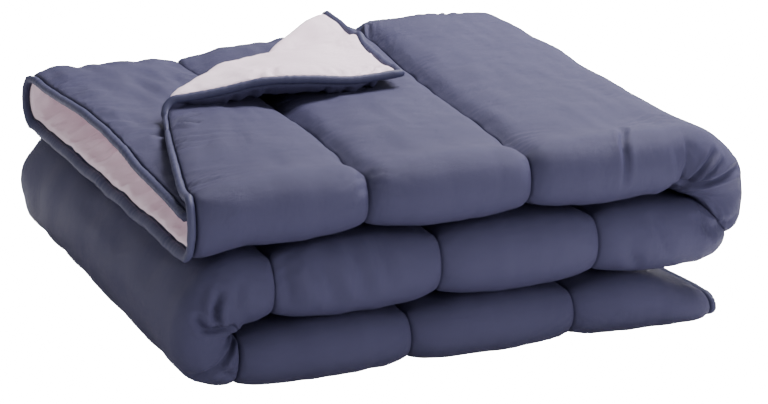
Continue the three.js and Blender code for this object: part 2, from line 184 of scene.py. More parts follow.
# Creases of the dark face and of the pale one: depth, width, and a path over the flat quilt in
# (along, across). A negative depth is a ridge.
DARK_CREASES = (
    (11.5, 4.5, ((600, 1391), (640, 1396), (676, 1399), (708, 1411), (722, 1444))),
    (7, 30, ((745, 1390), (775, 1432))),
    (10, 16, ((630, 1382), (690, 1384), (712, 1386))),
    (8, 4, ((653, 1402), (667, 1418), (672, 1432))),
    (7, 3.5, ((676, 1406), (686, 1420), (690, 1429))),
    (-3, 4, ((664, 1402), (678, 1420), (683, 1436))),
    (5, 4.5, ((907, 1404), (850, 1420), (797, 1438))),
    (5, 4, ((902, 1409), (885, 1416), (867, 1422))),
    (7, 4, ((555, 1471), (539, 1445), (536, 1430), (535, 1412))),
    (3, 5, ((607, 1429), (612, 1414))),
    (5, 5, ((965, 1400), (959, 1414), (946, 1428))),
    (4, 6, ((1001, 1424), (982, 1445))),
    (12, 3.6, ((1563, 1403), (1570, 1413), (1566, 1423), (1555, 1434), (1543, 1438))),
    (9, 3.6, ((1528, 1406), (1547, 1414), (1561, 1421))),
    (-4, 3.4, ((1530, 1412), (1541, 1417), (1551, 1423))),
    (-3.5, 3.4, ((1534, 1401), (1552, 1408), (1560, 1416))),
    (3, 4, ((1500, 1405), (1516, 1422))),
    (12, 4, ((1654, 1457), (1645, 1438), (1638, 1424), (1630, 1401), (1626, 1390))),
    (6, 3.5, ((1640, 1414), (1657, 1408))),
    (6, 8, ((1445, 1395), (1440, 1430))),
    (6, 8, ((1405, 1398), (1385, 1432))),
    (5, 7, ((1362, 1392), (1350, 1425))),
    (5, 7, ((1330, 1390), (1318, 1420))),
    (7, 6, ((0, 240), (40, 252), (75, 250))),
    (7, 4, ((0, 1706), (46, 1690))),
    (7, 4, ((0, 1714), (52, 1722))),
    (-4, 4, ((4, 1700), (38, 1676))),
)
PALE_CREASES = (
    (10, 20, ((226, 1930), (232, 2000), (236, 2086))),
    (5, 4.5, ((2, 1896), (30, 1912))),
    (5, 4.5, ((2, 1918), (46, 1930))),
    (6, 4.5, ((2, 2026), (22, 2046))),
    (6, 4.5, ((2, 2044), (30, 2066))),
    (5, 4.5, ((2, 2062), (18, 2078))),
)

# The shape of a crease: the share of its depth at its ends, how sharply it falls off, and its lip
CREASE_ENDS = 0.35
CREASE_FALL = 1.3
LIP = {"share": 0.28, "away": 2.2, "reach": 0.9}

# Short folds inside the mouth, drawn at random between these limits
MOUTH_FOLD = {"slant": (-46, 4), "reach": (60, 130), "depth": (5.0, 12.0), "width": (6, 12)}
MOUTH_STEP = (20, 72)
MOUTH_INSET = 16.0
MOUTH_BEND = 0.3


def mouth_creases():
    """Short folds across the pale cloth that shows between the layers at the sewn end."""
    rng = np.random.default_rng(12)
    creases = []
    start = LOWER_START + 20.0
    while start < LOWER_END - 10:
        slant, reach, depth, width = (float(rng.uniform(*limits)) for limits in MOUTH_FOLD.values())
        path = ((MOUTH_INSET, start), (reach / 2, start + slant * MOUTH_BEND), (reach, start + slant))
        creases.append((depth, width, path))
        start += float(rng.uniform(*MOUTH_STEP))
    return tuple(creases)


CREASES = {1: DARK_CREASES, -1: PALE_CREASES + mouth_creases()}


def smooth(low, high, x):
    t = np.clip((x - low) / (high - low), 0, 1)
    return t * t * (3 - 2 * t)


def bell(x):
    return np.exp(-x * x)


def look_up(table, x):
    return np.interp(x, list(table.keys()), list(table.values()))


def stray(along, across):
    """How far a sewn line lies to one side of its true place."""
    ends = np.clip(np.minimum(along, LENGTH - along) / PITCH, 0, 1)
    wave = STRAY_WAVE["swing"] * np.sin(across / STRAY_WAVE["long"])
    wave = across / STRAY_WAVE["short"] + wave + along / STRAY_WAVE["shift"]
    return SEAM_STRAY * np.sin(wave) * ends


def loft(along, across, crown):
    """The share of the full loft, which is nought at a channel line."""
    share = ((along + stray(along, across)) / PITCH) % 1.0
    full = (4 * share * (1 - share)) ** crown
    from_faint = np.abs(along - FAINT_SEAM["seam"] * PITCH)
    faint = FAINT_SEAM["share"] * smooth(LOWER_END, UPPER_START, across) * (from_faint < PITCH / 2)
    return full + (1 - full) * faint


def pressed(along, across):
    """The share of its thickness that the cloth loses where it is pressed together."""
    upper = across - UPPER_START
    flap = smooth(*FLAP_PRESS["across"], upper) * (1 - smooth(*FLAP_PRESS["along"], along))
    depth = np.where(across < MIDDLE_EDGE, across + FREE_EDGE, upper + FRONT_LINE)
    mouth = bell(along / MOUTH_PRESS["reach"]) * bell(
        (depth - MOUTH_PRESS["depth"]) / MOUTH_PRESS["spread"]
    )
    lower = smooth(MIDDLE_EDGE, LOWER_START, across) * (1 - smooth(LOWER_END, UPPER_START, across))
    turn = bell((along - TURN_PRESS["along"]) / TURN_PRESS["reach"]) * lower
    return np.maximum(
        FLAP_PRESS["share"] * flap,
        np.maximum(MOUTH_PRESS["share"] * mouth, TURN_PRESS["share"] * turn),
    )


def half_thickness(along, across, half_seam, crown):
    from_end = np.minimum(along, LENGTH - along)
    flatter = 1 + CORNER_FLAT["extra"] * (1 - smooth(*CORNER_FLAT["along"], along))
    from_edge = np.minimum(from_end, np.minimum(across, (WIDTH - across) / flatter))
    from_edge = np.clip(from_edge, 0, None)
    full = np.where(from_end < PITCH / 2, 1.0, loft(along, across, crown))
    half = (half_seam + (HALF_LOFT - half_seam) * full) * (1 - pressed(along, across))
    rise = np.sqrt(1 - (1 - np.clip(from_edge / EDGE_ROLL, 0, 1)) ** 2)
    return HALF_EDGE + (half - HALF_EDGE) * rise


def lifts(along, depth):
    """How far the three layers of the top strip are moved up from a tidy stack."""
    turned = np.clip((along - TOP_END) / RIGHT_ARC, 0, 1)
    fade = np.cos(turned * math.pi / 2) ** TURN_FADE
    length = PUFF_START["share"] + (1 - PUFF_START["share"]) * smooth(*PUFF_START["along"], along)
    length = length - PUFF_EASE["share"] * smooth(*PUFF_EASE["along"], along)
    puff = PUFF * smooth(*PUFF_DEPTH, depth) * length + LOOSE_REST
    middle, upper = puff, puff
    for form in TOP_FORMS:
        near = bell((along - form["along"]) / form["reach"]) * bell(
            (depth - form["depth"]) / form["spread"]
        )
        if form["layer"] != "upper":
            middle = middle + form["rise"] * near
        if form["layer"] != "middle":
            upper = upper + form["rise"] * near
    overhang = np.clip(1 - along / (LEFT_TURN - TOP_START), 0, None)
    return -MOUTH_DROP * overhang**DROP_POWER, middle * fade, upper * fade


def lean(along, depth):
    back = np.clip(depth, 0, None) / LEAN_DEPTH
    strip = look_up(LEAN, along) * back**LEAN_POWER
    near = END_LEAN * np.clip(depth / END_LEAN_DEPTH, 0, 1) ** END_LEAN_POWER
    corner = (CORNER_LEAN - END_LEAN) * smooth(CORNER_LEAN_START, LEAN_DEPTH, depth)
    plain = LEAN[0] * np.clip(back, 0, END_LEAN_DEPTH / LEAN_DEPTH) ** LEAN_POWER
    from_end = np.clip(1 - along / PITCH, 0, END_LEAN_LIMIT) ** END_LEAN_FALL
    return strip + (near + corner - plain) * from_end


def sunk(along, across):
    """How far both faces move towards the pale side: at the edges and the channel lines."""
    shown = smooth(*HANG["from"], across) * (1 - (1 - HANG["left"]) * smooth(*HANG["to"], across))
    total = HANG["rise"] * bell(along / HANG["reach"]) * shown
    pinched = PINCH_IN * bell((across - PINCH) / PINCH_REACH["across"])
    total = total + pinched * bell(along / PINCH_REACH["along"])
    for n, (away, place) in enumerate(
        ((along, across), (LENGTH - along, across), (across, along), (WIDTH - across, along))
    ):
        wander = WANDER["rise"] * ripples(place, WANDER["length"], WANDER["seed"] + n)
        total = total + wander * bell(away / WANDER["reach"])
    from_seam = np.abs(along - np.round(along / PITCH) * PITCH)
    inner = smooth(PITCH / 2, PITCH, along) * (1 - smooth(*VALLEY["until"], along))
    valley = VALLEY["depth"] * bell(from_seam / VALLEY["reach"]) * inner
    shoulder = bell((across - UPPER_START - SHOULDER["beyond"]) / SHOULDER["reach"])
    shoulder = SHOULDER["drop"] * shoulder * (1 - smooth(*SHOULDER["until"], along))
    return total + valley * smooth(LOWER_END, UPPER_START, across) + shoulder


def from_path(along, across, path):
    """Distance from a path on the flat quilt in millimetres, and how far down the path that is."""
    lengths = [math.dist(a, b) for a, b in zip(path, path[1:])]
    nearest = np.full(np.shape(along), np.inf)
    down = np.zeros(np.shape(along))
    before = 0.0
    for (a0, c0), (a1, c1), length in zip(path, path[1:], lengths):
        way_along, way_across = (a1 - a0) / length, (c1 - c0) / length
        here = np.clip((along - a0) * way_along + (across - c0) * way_across, 0, length)
        distance = np.hypot(along - a0 - here * way_along, across - c0 - here * way_across)
        down = np.where(distance < nearest, (before + here) / sum(lengths), down)
        nearest = np.minimum(nearest, distance)
        before += length
    return nearest, down


def creased(along, across, side):
    """How deep the named creases are at a place."""
    total = np.zeros(np.shape(along))
    for depth, width, path in CREASES[side]:
        away, down = from_path(along, across, path)
        away = away / width
        inner = np.sin(math.pi * np.clip(down, 0.02, 0.98)) ** 0.5
        lip = LIP["share"] * bell((away - LIP["away"]) / LIP["reach"])
        depth = depth * (CREASE_ENDS + (1 - CREASE_ENDS) * inner)
        total += depth * (np.exp(-(away**CREASE_FALL)) - lip)
    return total


def cross_fold(along, across, off, crown):
    """The fold across the width: depth, height and share of the upper layer."""
    middle = across < MIDDLE_EDGE
    back = (across >= MIDDLE_EDGE) & (across < LOWER_START)
    lower = (across >= LOWER_START) & (across < LOWER_END)
    front = (across >= LOWER_END) & (across < UPPER_START)
    parts = [middle, back, lower, front]
    back_turn = math.pi / 2 - math.pi * (across - MIDDLE_EDGE) / BACK_ARC
    front_turn = -math.pi / 2 + math.pi * (across - LOWER_END) / FRONT_ARC
    nought = np.zeros_like(across)
    depth = np.select(
        parts,
        [
            FREE_EDGE + across,
            BACK_LINE + BACK_ROLL * np.cos(back_turn),
            BACK_LINE - (across - LOWER_START),
            FRONT_LINE - FRONT_ROLL * np.cos(front_turn),
        ],
        FRONT_LINE + (across - UPPER_START),
    )
    out_depth = np.select(parts, [nought, np.cos(back_turn), nought, -np.cos(front_turn)], 0)
    out_height = np.select(parts, [nought + 1, np.sin(back_turn), nought - 1, np.sin(front_turn)], 1)
    low, mid, high = lifts(along, depth)
    low, mid, high = low + LAYER["lower"], mid + LAYER["middle"], high + LAYER["upper"]
    height = np.select(
        parts,
        [
            mid,
            (low + mid) / 2 + (mid - low) / 2 * np.sin(back_turn),
            low,
            (low + high) / 2 + (high - low) / 2 * np.sin(front_turn),
        ],
        high,
    )
    puffed = loft(along, across, crown)
    depth = depth + np.where(front, FRONT_PINCH * (1 - puffed) * np.cos(front_turn), 0)
    share = np.select(parts, [nought, nought, nought, (1 + np.sin(front_turn)) / 2], 1)
    height = height + out_height * off
    draw = 1 - SEAM_DRAW * (1 - puffed)
    return depth + out_depth * off, CENTRE + (height - CENTRE) * draw, share


def long_fold(along, height):
    """The fold along the length: X and Z of a height in the strip."""
    taper = 1 - END_SQUEEZE * smooth(LENGTH - END_TAPER, LENGTH + 10, along)
    top = MIDDLE_TOP + STRIP_GAP + height * TOP_SQUEEZE
    middle = MIDDLE_TOP - height * MIDDLE_SQUEEZE
    bottom = np.maximum(height * BOTTOM_SQUEEZE * taper, SEAT)
    right = (along - TOP_END) / RIGHT_ARC * math.pi
    left = (along - MIDDLE_END) / LEFT_ARC * math.pi
    parts = [along < TOP_END, along < MIDDLE_START, along < MIDDLE_END, along < BOTTOM_START]
    outer, inner = (top - middle) / 2, (middle - bottom) / 2
    plain = np.minimum(along, LAST_SEAM) - BOTTOM_START
    last = np.clip(along - LAST_SEAM, 0, None)
    shifted = smooth(BOTTOM_START - 60, BOTTOM_START + 10, along)
    x = np.select(
        parts,
        [
            TOP_START + along,
            RIGHT_TURN + outer * np.sin(right) + RIGHT_SLIP * (1 - np.cos(right)) / 2,
            RIGHT_TURN + RIGHT_SLIP - (along - MIDDLE_START),
            LEFT_TURN
            + LEFT_SLIP * (1 - np.cos(left)) / 2
            + BOTTOM_SHIFT * shifted
            - inner * LEFT_BULGE * np.sin(left),
        ],
        LEFT_TURN + LEFT_SLIP + BOTTOM_SHIFT * shifted + plain * BOTTOM_STRETCH + last * LAST_STRETCH,
    )
    z = np.select(
        parts,
        [
            top,
            (top + middle) / 2 + outer * np.cos(right),
            middle,
            (middle + bottom) / 2 + inner * np.cos(left),
        ],
        bottom,
    )
    return x, z


def turn_corner(x, depth, z, off, on_corner):
    """Rolls the top layer beyond the crease over it."""
    place = np.stack([x, depth], -1) - CREASE_START
    beyond = place @ CREASE_SIDE
    way = place @ CREASE_WAY
    radius = look_up(CREASE_ROLL, np.clip(way / CREASE_LENGTH, -0.2, 1.2))
    turn = np.clip(beyond / radius, 0, math.pi)
    lying = np.clip(beyond - math.pi * radius, 0, None)
    back = (radius - off) * np.sin(turn) - lying
    settle = smooth(0, FLAP_SETTLE, lying)
    new_x = CREASE_START[0] + CREASE_WAY[0] * way + CREASE_SIDE[0] * back
    new_depth = CREASE_START[1] + CREASE_WAY[1] * way + CREASE_SIDE[1] * back
    rise = (
        radius
        - (radius - off) * np.cos(turn)
        + (FLAP_HEIGHT - 2 * radius) * settle * smooth(0, 1, lying / FLAP_SETTLE)
    )
    under = new_x - TOP_START
    under = np.clip(under - lean(under, new_depth), 0, None)
    bed = (LAYER["upper"] + lifts(under, new_depth)[2]) * TOP_SQUEEZE
    turned = on_corner & (beyond > 0)
    return (
        np.where(turned, new_x, x),
        np.where(turned, new_depth, depth),
        np.where(turned, MIDDLE_TOP + STRIP_GAP + bed + rise, z),
    )


def folded(along, across, off, crown=0.38):
    """The place in the stack of each place of the flat quilt, in metres."""
    along, across, off = np.broadcast_arrays(
        np.asarray(along, float), np.asarray(across, float), np.asarray(off, float)
    )
    depth, height, share = cross_fold(along, across, off, crown)
    x, z = long_fold(along, height)
    share = share + (1 - share) * smooth(300, TOP_END, along)
    x = x + lean(along, depth) * share
    from_roll = (across - MIDDLE_EDGE - BACK_ARC / 2) / BACK_BULGE["spread"]
    x = x - BACK_BULGE["out"] * bell(from_roll) * np.clip(1 - along / BACK_BULGE["reach"], 0, 1)
    on_corner = (across >= UPPER_START) & (along < CORNER_REACH)
    x, depth, z = turn_corner(x, depth, z, off, on_corner)
    return (np.stack([x, depth, z - SEAT], -1) - ORIGIN) * MM


# Uneven cloth: sums of seeded waves, the same on each run


def waves(along, across, length_along, length_across, seed, count=28):
    """Smooth noise with about these wavelengths in millimetres, from about -1 to 1."""
    rng = np.random.default_rng(seed)
    total = np.zeros(np.broadcast(along, across).shape)
    for _ in range(count):
        angle = rng.uniform(0, 2 * math.pi)
        size = rng.uniform(0.7, 1.4)
        a = math.cos(angle) * size / length_along
        b = math.sin(angle) * size / length_across
        total += np.sin(2 * math.pi * (a * along + b * across) + rng.uniform(0, 2 * math.pi))
    return total / math.sqrt(count)


def ripples(along, period, seed, count=14):
    """Noise along a line with about this wavelength, from about -1 to 1."""
    rng = np.random.default_rng(seed)
    total = np.zeros(np.shape(along))
    for _ in range(count):
        wave = period * rng.uniform(0.65, 1.6)
        total += np.sin(2 * math.pi * along / wave + rng.uniform(0, 2 * math.pi))
    return total / math.sqrt(count)


# Gathers beside a channel line and beside the edging: how far from it they reach and start, the
# length of one and of a cluster, and their slant
SEAM_GATHER = {"reach": 24, "start": 5, "length": 24, "cluster": 130, "slant": 0.35}
EDGE_GATHER = {"reach": 24, "start": 6, "length": 17, "cluster": 110, "slant": 0.3}

# The height of the gathers beside the edging on each side, and what the turned corner adds
EDGE_STRONG = {1: (2.2, 3.0), -1: (0.6, 1.6)}


def puckers(along, across, side, height):
    """Gathers beside each sewn channel line and beside the corded edge."""
    total = np.zeros(np.shape(along))
    for seam in range(1, CHANNELS):
        from_seam = along - seam * PITCH
        away = np.abs(from_seam)
        cluster = ripples(across, SEAM_GATHER["cluster"], 300 + seam)
        cluster = np.clip(0.55 + 0.8 * cluster, 0.1, 1.6)
        near = cluster * np.exp(-away / SEAM_GATHER["reach"])
        near = near * (1 - np.exp(-away / SEAM_GATHER["start"]))
        facing = np.where(from_seam < 0, 1, 2)
        skew = across + SEAM_GATHER["slant"] * away
        for way in (1, 2):
            line = ripples(skew, SEAM_GATHER["length"], 100 * seam + 10 * way + (side > 0))
            total += np.where(facing == way, near * (1.1 - 1.5 * np.abs(line)), 0)
    for n, (away, place) in enumerate(
        ((across, along), (WIDTH - across, along), (along, across), (LENGTH - along, across))
    ):
        near = np.exp(-away / EDGE_GATHER["reach"]) * (1 - np.exp(-away / EDGE_GATHER["start"]))
        cluster = np.clip(0.5 + 0.9 * ripples(place, EDGE_GATHER["cluster"], 400 + n), 0.1, 1.7)
        on_corner = smooth(*HANG["from"], across) * (along < CORNER_REACH)
        plain, extra = EDGE_STRONG[side]
        skew = place + EDGE_GATHER["slant"] * away
        line = ripples(skew, EDGE_GATHER["length"], 900 + 10 * n + (side > 0))
        total += (plain + extra * on_corner) * cluster * near * line
    return height * total


def calmer(along, across):
    """The share of the unevenness that is left: less on the top face and on the lower strips."""
    front = smooth(LOWER_END - 40, LOWER_END + 20, across)
    strips = smooth(TOP_END, MIDDLE_START, along) * smooth(MIDDLE_EDGE - 40, MIDDLE_EDGE, across)
    left_end = smooth(MIDDLE_END - 30, MIDDLE_END + 20, along)
    left_end = left_end * (1 - smooth(BOTTOM_START - 20, BOTTOM_START + 30, along)) * (1 - front)
    return 1 - (1 - CALM) * np.maximum(front, strips) * (1 - left_end)


LUMPS = {"height": 1.5, "along": 75, "across": 95}
SOFT_CREASES = {"height": 1.1, "along": 34, "across": 160, "power": 1.3}


def surface_detail(along, across, side, sizes):
    """How far the cloth stands out of, or into, its even form on one side."""
    seed = 40 if side > 0 else 60
    from_edge = np.minimum(np.minimum(along, LENGTH - along), np.minimum(across, WIDTH - across))
    inside = smooth(0, 30, from_edge)
    puffed = loft(along, across, 0.5)
    lumps = LUMPS["height"] * waves(along, across, LUMPS["along"], LUMPS["across"], seed)
    creases = waves(along, across, SOFT_CREASES["along"], SOFT_CREASES["across"], seed + 1)
    sharp = np.abs(creases) ** SOFT_CREASES["power"]
    creases = SOFT_CREASES["height"] * np.sign(creases) * sharp
    soft = (lumps + creases) * inside * puffed * calmer(along, across)
    if side < 0:
        hill = smooth(*CORNER_HILL["across"], across) * (1 - smooth(*CORNER_HILL["until"], across))
        hill = hill * (along < PITCH)
        soft = soft + CORNER_HILL["rise"] * hill * loft(along, across, 0.8)
    if side > 0:
        shown = smooth(*BELLY["from"], across) * (1 - smooth(*BELLY["to"], across))
        soft = soft + BELLY["depth"] * bell((along - BELLY["along"]) / BELLY["reach"]) * shown
    gathers = puckers(along, across, side, sizes.pucker_height / MM)
    return soft * sizes.unevenness + gathers - creased(along, across, side)


# Meshes


def spaced(stops):
    """Lines through rows of (start, end, spacing), each once."""
    lines = []
    for start, end, spacing in stops:
        count = max(1, round((end - start) / spacing))
        lines.extend(start + (end - start) * n / count for n in range(count))
    lines.append(stops[-1][1])
    return np.array(lines)


def along_lines(start, end, spacing, fine=()):
    """Lines between two places along the quilt, closer together beside each channel line."""
    lines = []
    seams = [start] + [s * PITCH for s in range(CHANNELS + 1) if start < s * PITCH < end] + [end]
    for a, b in zip(seams, seams[1:]):
        count = max(4, round((b - a) / spacing))
        even = np.linspace(0, 1, count + 1)[:-1]
        lines.extend(a + (b - a) * (even - 0.82 * np.sin(2 * math.pi * even) / (2 * math.pi)))
    for low, high, step in fine:
        lines = [line for line in lines if not low < line < high]
        lines.extend(np.linspace(low, high, round((high - low) / step) + 1))
    lines.append(end)
    return np.sort(lines)


def mesh_object(name, points, faces, uvs, materials, slots):
    mesh = bpy.data.meshes.new(name)
    mesh.from_pydata(points.tolist(), [], faces.tolist())
    mesh.polygons.foreach_set("use_smooth", np.ones(len(faces), bool))
    for material in materials:
        mesh.materials.append(material)
    mesh.polygons.foreach_set("material_index", slots.astype(np.int32))
    layer = mesh.uv_layers.new(name="ClothUV")
    corners = np.empty(len(mesh.loops), np.int32)
    mesh.loops.foreach_get("vertex_index", corners)
    layer.data.foreach_set("uv", uvs[corners].astype(np.float32).ravel())
    mesh.update()
    mesh.validate()
    piece = bpy.data.objects.new(name, mesh)
    bpy.context.scene.collection.objects.link(piece)
    return piece


# Lines of the simulated nets across the quilt, as (start, end, spacing)
UPPER_NET = (
    (0, MIDDLE_EDGE, 9),
    (MIDDLE_EDGE, LOWER_START, 8),
    (LOWER_START, LOWER_END, 9),
    (LOWER_END, UPPER_START, 6),
    (UPPER_START, WIDTH, 7),
)
LOWER_NET = (
    (0, MIDDLE_EDGE, 40),
    (MIDDLE_EDGE, LOWER_START, 8),
    (LOWER_START, LOWER_END, 9),
    (LOWER_END, UPPER_START, 5),
    (UPPER_START, UPPER_START + 60, 7),
    (UPPER_START + 60, WIDTH, 20),
)

# The four lengths of the quilt, and the lines of their meshes
STRIPS = (
    {
        "name": "quilt_corner",
        "start": 0,
        "end": 2 * PITCH,
        "spacing": 4.4,
        "fine": (),
        "across": (
            (0, 60, 5),
            (60, 250, 14),
            (250, MIDDLE_EDGE, 8),
            (MIDDLE_EDGE, LOWER_START, 4.3),
            (LOWER_START, LOWER_END, 6),
            (LOWER_END, UPPER_START, 4),
            (UPPER_START, WIDTH - 30, 4.6),
            (WIDTH - 30, WIDTH, 3),
        ),
        "net": UPPER_NET,
        "wrinkles": {1: 0.7, -1: 1.0},
    },
    {
        "name": "quilt_top",
        "start": 2 * PITCH,
        "end": 4 * PITCH,
        "spacing": 4.6,
        "fine": ((524, 564, 3.4), (592, 780, 3.4)),
        "across": (
            (0, 60, 5),
            (60, 250, 14),
            (250, MIDDLE_EDGE, 12),
            (MIDDLE_EDGE, LOWER_START, 4.3),
            (LOWER_START, LOWER_END, 9),
            (LOWER_END, UPPER_START, 3.4),
            (UPPER_START, UPPER_START + 60, 3.2),
            (UPPER_START + 60, WIDTH - 30, 5),
            (WIDTH - 30, WIDTH, 3),
        ),
        "net": UPPER_NET,
        "wrinkles": {1: 0.7, -1: 1.0},
    },
    {
        "name": "quilt_middle",
        "start": 4 * PITCH,
        "end": 8 * PITCH,
        "spacing": 4.2,
        "fine": ((1516, 1602, 2.3),),
        "across": (
            (0, MIDDLE_EDGE, 26),
            (MIDDLE_EDGE, LOWER_START, 4.7),
            (LOWER_START, LOWER_END - 60, 8),
            (LOWER_END - 60, LOWER_END, 5),
            (LOWER_END, UPPER_START, 3.7),
            (UPPER_START, UPPER_START + 60, 2.8),
            (UPPER_START + 60, WIDTH, 16),
        ),
        "net": LOWER_NET,
        "wrinkles": {1: 0.5},
    },
    {
        "name": "quilt_bottom",
        "start": 8 * PITCH,
        "end": LENGTH,
        "spacing": 3.8,
        "fine": (),
        "across": (
            (0, MIDDLE_EDGE, 26),
            (MIDDLE_EDGE, LOWER_START, 4.7),
            (LOWER_START, LOWER_END - 60, 9),
            (LOWER_END - 60, LOWER_END, 5),
            (LOWER_END, UPPER_START, 3.7),
            (UPPER_START, UPPER_START + 60, 5),
            (UPPER_START + 60, WIDTH, 9),
        ),
        "net": LOWER_NET,
        "wrinkles": {1: 0.5},
    },
)


NET_SPACING = 6.5
NET_MOST = 6
SETTLE_FRAMES = 9

# The net starts with this share of its loft and this unevenness
NET_LOFT = 0.8
NET_NOISE = 0.25

# Shares of the swell, and of the dark face's wrinkles far from a channel line, that are kept
SWELL_LEFT = 0.12
FACE_LEFT = {"share": 0.35, "reach": 30}


def blurred(field, reach, times=3):
    """Running means over the net, along both of its ways."""
    for _ in range(times):
        for axis in (0, 1):
            padding = [(0, 0)] * field.ndim
            padding[axis] = (reach + 1, reach)
            sums = np.cumsum(np.pad(field, padding, mode="edge"), axis=axis)
            length = sums.shape[axis]
            after = np.take(sums, range(2 * reach + 1, length), axis=axis)
            before = np.take(sums, range(0, length - 2 * reach - 1), axis=axis)
            field = (after - before) / (2 * reach + 1)
    return field


def settled(strip, side, sizes, fine_along, fine_across):
    """Cloth simulation: sewn down at the channel lines, one face swells and wrinkles by itself.

    It runs on a net that is coarser than the strip. What comes back is how far each place of the
    strip moves, in metres.
    """
    along = along_lines(strip["start"], strip["end"], NET_SPACING)
    across = spaced(strip["net"])
    a, w = np.meshgrid(along, across, indexing="ij")
    half = half_thickness(a, w, sizes.seam_thickness / MM / 2, sizes.crown)
    start = HALF_EDGE + (half - HALF_EDGE) * NET_LOFT
    noise = np.random.default_rng(5).normal(0, NET_NOISE, start.shape)
    start += noise * (half > HALF_EDGE)
    places = folded(a, w, side * start, sizes.crown)
    index = np.arange(a.size).reshape(a.shape)
    quads = np.stack([index[:-1, :-1], index[1:, :-1], index[1:, 1:], index[:-1, 1:]], -1)
    quads = quads.reshape(-1, 4)[:, ::side]
    mesh = bpy.data.meshes.new("net")
    mesh.from_pydata(places.reshape(-1, 3).tolist(), [], quads.tolist())
    net = bpy.data.objects.new("net", mesh)
    bpy.context.scene.collection.objects.link(net)
    sewn = np.abs(a - np.round(a / PITCH) * PITCH) < 0.5
    sewn |= (w < 2) | (w > WIDTH - 2) | (a < 2) | (a > LENGTH - 2)
    net.vertex_groups.new(name="sewn").add(index[sewn].tolist(), 1.0, "REPLACE")
    cloth = net.modifiers.new("Cloth", "CLOTH")
    cloth.settings.quality = 4
    cloth.settings.mass = 0.3
    cloth.settings.vertex_group_mass = "sewn"
    cloth.settings.use_pressure = True
    cloth.settings.uniform_pressure_force = 4
    cloth.settings.shrink_min = -0.03
    cloth.settings.effector_weights.gravity = 0
    cloth.collision_settings.use_collision = False
    cloth.point_cache.frame_start = 1
    cloth.point_cache.frame_end = SETTLE_FRAMES
    for number in range(1, SETTLE_FRAMES + 1):
        bpy.context.scene.frame_set(number)
    evaluated = net.evaluated_get(bpy.context.evaluated_depsgraph_get())
    moved = np.empty(a.size * 3)
    evaluated.data.vertices.foreach_get("co", moved)
    moves = (moved.reshape(*a.shape, 3) - places) / MM
    bpy.context.scene.frame_set(1)
    bpy.data.objects.remove(net)
    bpy.data.meshes.remove(mesh)
    swell = blurred(moves, 5)
    moves = strip["wrinkles"][side] * (moves - swell) + SWELL_LEFT * swell
    length = np.linalg.norm(moves, axis=-1, keepdims=True)
    moves *= np.minimum(1, NET_MOST / np.maximum(length, 1e-6))
    from_seam = np.abs(a - np.round(a / PITCH) * PITCH)
    gathered = 1
    if side > 0:
        near = np.exp(-from_seam / FACE_LEFT["reach"])
        gathered = FACE_LEFT["share"] + (1 - FACE_LEFT["share"]) * near
    moves *= ((1 - np.exp(-from_seam / 5)) * calmer(a, w) * gathered)[..., None]
    rows = np.interp(fine_along, along, np.arange(len(along)))
    columns = np.interp(fine_across, across, np.arange(len(across)))
    r0 = np.minimum(rows.astype(int), len(along) - 2)
    c0 = np.minimum(columns.astype(int), len(across) - 2)
    r, c = (rows - r0)[:, None, None], (columns - c0)[None, :, None]
    near = moves[r0][:, c0] * (1 - c) + moves[r0][:, c0 + 1] * c
    far = moves[r0 + 1][:, c0] * (1 - c) + moves[r0 + 1][:, c0 + 1] * c
    return (near * (1 - r) + far * r) * MM


def quilt_strip(strip, sizes, materials):
    """One length of the quilt between two channel lines, closed all round."""
    along = along_lines(strip["start"], strip["end"], strip["spacing"], strip["fine"])
    across = spaced(strip["across"])
    rows, columns = len(along), len(across)
    a, w = np.meshgrid(along, across, indexing="ij")
    a = a - stray(a, w) * bell((a - np.round(a / PITCH) * PITCH) / 25)
    half_seam = sizes.seam_thickness / MM / 2
    half = half_thickness(a, w, half_seam, sizes.crown)
    sides = []
    for side in (1, -1):
        off = np.maximum(half + surface_detail(a, w, side, sizes), 0.8)
        place = folded(a, w, side * off - sunk(a, w), sizes.crown)
        if side in strip["wrinkles"]:
            place = place + settled(strip, side, sizes, along, across)
        sides.append(place.reshape(-1, 3))
    points = np.concatenate(sides)
    uv = np.stack([a.ravel(), w.ravel()], -1) * MM
    index = np.arange(rows * columns).reshape(rows, columns)
    below = index + rows * columns
    quads = np.stack([index[:-1, :-1], index[1:, :-1], index[1:, 1:], index[:-1, 1:]], -1)
    under = np.stack([below[:-1, :-1], below[:-1, 1:], below[1:, 1:], below[1:, :-1]], -1)

    def wall(line, under_line):
        return np.stack([line[:-1], under_line[:-1], under_line[1:], line[1:]], -1)

    walls = [
        wall(index[:, 0], below[:, 0]),
        wall(index[::-1, -1], below[::-1, -1]),
        wall(index[0, ::-1], below[0, ::-1]),
        wall(index[-1, :], below[-1, :]),
    ]
    faces = np.concatenate([quads.reshape(-1, 4), under.reshape(-1, 4), *walls])
    cells = (rows - 1) * (columns - 1)
    slots = np.zeros(len(faces), int)
    slots[cells : 2 * cells] = 1
    slots[2 * cells :] = 2
    piece = mesh_object(strip["name"], points, faces, np.concatenate([uv, uv]), materials, slots)
    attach(piece, "root")
    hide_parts("quilt")
    return piece


# Distance between the rings of the edging, and the points of a ring
EDGE_SPACING = 3.4
EDGE_RING = 14


def edge_stations(spacing):
    """Places round the quilt's border, with the way out from the quilt at each."""
    sides = (
        ((0, 0), (LENGTH, 0), (0, -1)),
        ((LENGTH, 0), (LENGTH, WIDTH), (1, 0)),
        ((LENGTH, WIDTH), (0, WIDTH), (0, 1)),
        ((0, WIDTH), (0, 0), (-1, 0)),
    )
    stations = []
    before = sides[-1][2]
    for start, end, out in sides:
        start, end = np.array(start, float), np.array(end, float)
        length = float(np.linalg.norm(end - start))
        count = round(length / spacing)
        for n in range(count):
            place = start + (end - start) * n / count
            way = np.add(out, before) if n == 0 else out
            stations.append((*place, *way))
        before = out
    return np.array(stations)


